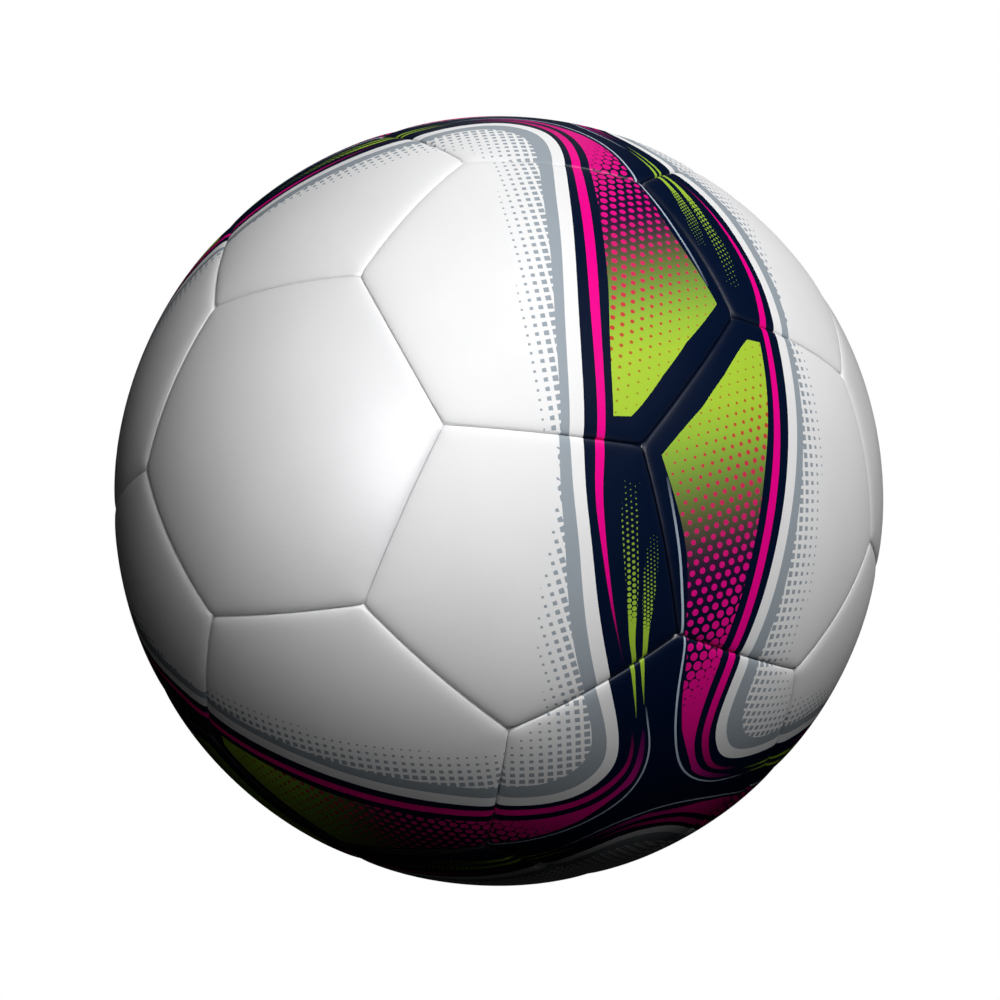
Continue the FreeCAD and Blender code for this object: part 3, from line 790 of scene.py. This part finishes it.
def attribute(tree, name):
    """A number that a mesh holds for each of its points."""
    node = tree.nodes.new("ShaderNodeAttribute")
    node.attribute_name = name
    return Term(tree, node.outputs["Fac"])


def add_bump(tree, shader, height, depth):
    """Fine relief, where a height from 0 to 1 stands for the depth in metres."""
    node = tree.nodes.new("ShaderNodeBump")
    node.inputs["Strength"].default_value = 1
    node.inputs["Distance"].default_value = depth
    height.into(node.inputs["Height"])
    tree.links.new(node.outputs["Normal"], shader.inputs["Normal"])


STAIN = srgb(40, 42, 46)
PRESSED_ROUGHNESS = 0.28   # of the skin beside a seam, which the stitches press smooth


def cover_material(name, colour_of, gloss, roughness):
    """Coated synthetic leather: fine grain, soft gloss and a faint unevenness."""
    material, tree, shader = new_material(name, IOR=1.48)
    colour = colour_of(tree)
    soft_stain = noise(tree, 38, 3).rescaled(0.35, 0.65, 0.0, 0.035)
    mixed(soft_stain, colour, STAIN).into(shader.inputs["Base Color"])
    grain = cells(tree, 1150).rescaled(0, 0.35)
    fine = noise(tree, 2600, 2)
    grain_height = grain * 0.6 + fine * 0.4
    pressed = attribute(tree, "pressed")
    (pressed * 0.7 + gloss).into(shader.inputs["Specular IOR Level"])
    unpressed = noise(tree, 90, 3).rescaled(0.3, 0.7, roughness - 0.04, roughness + 0.04)
    (unpressed - pressed * (roughness - PRESSED_ROUGHNESS)).into(shader.inputs["Roughness"])
    add_bump(tree, shader, grain_height, 0.012 * MM)
    return material


def plain_white(tree):
    """White coat that is a little uneven."""
    return noise(tree, 14, 2).ramp((0.3, srgb(238, 238, 240)), (0.7, srgb(242, 242, 242)))


def rubber_material(name, low, high, grain=900, roughness=(0.5, 0.7)):
    """Moulded rubber: matt, slightly cloudy, with a fine skin."""
    material, tree, shader = new_material(name, IOR=1.5, Specular_IOR_Level=0.4)
    noise(tree, 220, 4).ramp((0.35, low), (0.65, high)).into(shader.inputs["Base Color"])
    noise(tree, 400, 3).rescaled(0.3, 0.7, *roughness).into(shader.inputs["Roughness"])
    add_bump(tree, shader, noise(tree, grain, 4, 0.6), 0.05 * MM)
    return material


def foam_material():
    """Cut foam sheet with open pores, whose middles are painted darker as painted shade in the hollows.
    """
    material, tree, shader = new_material("foam_sheet", Specular_IOR_Level=0.2)
    pores = cells(tree, 1400, "F1")
    # The pores' sunken middles get the darker colour: painted shade in the hollows.
    pores.ramp((0.1, srgb(150, 148, 136)), (0.5, srgb(226, 222, 206))).into(shader.inputs["Base Color"])
    pores.rescaled(0, 0.6, 0.95, 0.8).into(shader.inputs["Roughness"])
    add_bump(tree, shader, pores, 0.2 * MM)
    return material


def woven_material(name, dark, light, threads):
    """Woven fabric: two sets of round threads that cross, with painted shade in the gaps between them.
    """
    material, tree, shader = new_material(name, Specular_IOR_Level=0.25, Sheen_Weight=0.3)
    split = tree.nodes.new("ShaderNodeSeparateXYZ")
    tree.links.new(object_place(tree), split.inputs[0])
    ribs = [
        (Term(tree, split.outputs[i]) * threads).math("SINE").math("ABSOLUTE") for i in range(3)]
    weave = (ribs[0] + ribs[1] + ribs[2]) / 3
    fuzz = noise(tree, 3000, 3)
    # The sunken gaps between the threads get the dark colour: painted shade. The light colour is the
    # threads' own.
    (weave * 0.8 + fuzz * 0.2).ramp((0.2, dark), (0.8, light)).into(shader.inputs["Base Color"])
    fuzz.rescaled(0.3, 0.7, 0.75, 0.95).into(shader.inputs["Roughness"])
    add_bump(tree, shader, weave, 0.15 * MM)
    return material


# ---------------------------------------------------------------- pieces

PRINT_SHIFT = 0.12        # how far a panel's print may be off, in degrees
# How much closer to the white hexagons the print of each corner hexagon sits.
CORNER_PRINT_SHIFTS = (0.4, 0.2, 0, 0.2)


def add_panels():
    """All panel skins, each with its own crown and its own small error of the print."""
    drawn = np.random.default_rng(7)
    white = cover_material("cover_white", plain_white, 0.5, 0.41)
    printed = cover_material("cover_print", print_colour, 0.03, 0.54)
    for panel in all_panels():
        crown = CROWN * (1 + 0.15 * drawn.uniform(-1, 1))
        shift = drawn.uniform(-PRINT_SHIFT, PRINT_SHIFT, 2)
        if panel.slot == "cover_corner_hexagon":
            shift[1] += CORNER_PRINT_SHIFTS[int(panel.name[-1]) - 1]
        mesh = panel_mesh(panel, crown)
        if panel.slot == "cover_white":
            mesh.materials.append(white)
        else:
            mesh.materials.append(printed)
            add_print_maps(mesh, panel, shift)
        piece = bpy.data.objects.new(f"panel_{panel.name}", mesh)
        bpy.context.scene.collection.objects.link(piece)
        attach(piece, "ball")
        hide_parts(panel.name)


def finish_nodes():
    """Materials of the CAD nodes that stay."""
    rubber = rubber_material("black_butyl", srgb(24, 24, 26), srgb(36, 36, 38))
    valve = rubber_material("valve_rubber", srgb(34, 35, 38), srgb(50, 51, 55), 1600, (0.4, 0.55))
    foam = foam_material()
    lining = woven_material("polyester_cotton", srgb(150, 146, 134), srgb(214, 210, 198), 4200)
    thread = woven_material("waxed_thread", srgb(170, 170, 168), srgb(226, 226, 222), 9000)
    finishes = (
        ("foam_", foam), ("lining_", lining), ("thread_", thread), ("bladder", rubber),
        ("valve_patch", rubber), ("balance_patch", rubber), ("valve_", valve))
    for name, node in NODES.items():
        found = [material for prefix, material in finishes if name.startswith(prefix)]
        if found and not node.hide_render:
            node.data.materials.clear()
            node.data.materials.append(found[0])


# ---------------------------------------------------------------- camera, light and floor

CAMERA_DISTANCE = 3.7145   # in radii of the ball
CAMERA_RIGHT = 0.00405
CAMERA_UP = 0.00254
PICTURE_SIDE = 1000
FOCAL_PIXELS = 1377.1
LAMP_SIZE = 0.56           # a lamp's width, in lengths of its distance
PANEL_WHITENESS = 0.86
ROOM_LIGHT = (0.005, 0.005, 0.005)


def add_camera():
    """The camera in front of the ball, level with its middle."""
    data = bpy.data.cameras.new("camera")
    data.sensor_width = 36
    data.lens = data.sensor_width * FOCAL_PIXELS / PICTURE_SIDE
    camera = bpy.data.objects.new("camera", data)
    camera.location = BALL_RADIUS * Vector((CAMERA_RIGHT, -CAMERA_DISTANCE, CAMERA_UP))
    camera.rotation_euler = (math.radians(90), 0, 0)
    bpy.context.scene.collection.objects.link(camera)
    bpy.context.scene.camera = camera


def add_softbox(name, azimuth, elevation, distance, brightness):
    """A round soft light that aims at the ball, from a distance in radii of the ball.

    The azimuth is counted from the camera's side to the right. The brightness is how light
    a white panel looks where it faces the lamp.
    """
    turn, lift = math.radians(azimuth), math.radians(elevation)
    towards = Vector((
        math.cos(lift) * math.sin(turn), -math.cos(lift) * math.cos(turn), math.sin(lift)))
    reach = distance * BALL_RADIUS
    data = bpy.data.lights.new(name, "AREA")
    data.shape = "DISK"
    data.size = LAMP_SIZE * reach
    data.energy = brightness * (math.pi * reach) ** 2 / PANEL_WHITENESS
    light = bpy.data.objects.new(name, data)
    light.location = towards * reach
    light.rotation_euler = towards.to_track_quat("Z", "Y").to_euler()
    light.visible_camera = False
    bpy.context.scene.collection.objects.link(light)
    return light


def add_lights():
    add_softbox("key", 26, 34.8, 6.06, 0.685)
    add_softbox("low_fill", -10.9, 8.5, 1.9, 0.108)
    add_softbox("top_back", 150, 87.8, 1.9, 0.11)
    add_softbox("far_side", 180, 2, 6, 0.4)
    # Seen only as a soft highlight on the glossy white panels.
    add_softbox("highlight", -19, 9, 6, 0.5).visible_diffuse = False


def add_world():
    """White behind the ball, and almost no light of its own."""
    world = bpy.data.worlds.new("studio")
    world.use_nodes = True
    bpy.context.scene.world = world
    tree = world.node_tree
    shader = tree.nodes["Background"]
    shader.inputs["Strength"].default_value = 1
    path = tree.nodes.new("ShaderNodeLightPath")
    seen = Term(tree, path.outputs["Is Camera Ray"])
    mixed(seen, ROOM_LIGHT, (1, 1, 1)).into(shader.inputs["Color"])


def add_floor():
    """A plain white floor that lights nothing."""
    reach = 40 * BALL_RADIUS
    level = -BALL_RADIUS
    mesh = bpy.data.meshes.new("floor")
    corners = [(x * reach, y * reach, level) for x, y in ((-1, -1), (1, -1), (1, 1), (-1, 1))]
    mesh.from_pydata(corners, [], [(0, 1, 2, 3)])
    material = bpy.data.materials.new("floor")
    material.use_nodes = True
    tree = material.node_tree
    tree.nodes.clear()
    glow = tree.nodes.new("ShaderNodeEmission")
    output = tree.nodes.new("ShaderNodeOutputMaterial")
    tree.links.new(glow.outputs[0], output.inputs["Surface"])
    mesh.materials.append(material)
    floor = bpy.data.objects.new("floor", mesh)
    floor.visible_diffuse = False
    floor.visible_glossy = False
    floor.visible_shadow = False
    bpy.context.scene.collection.objects.link(floor)


bpy.context.scene.view_settings.view_transform = "Standard"
add_camera()
add_lights()
add_world()
add_floor()
add_panels()
finish_nodes()
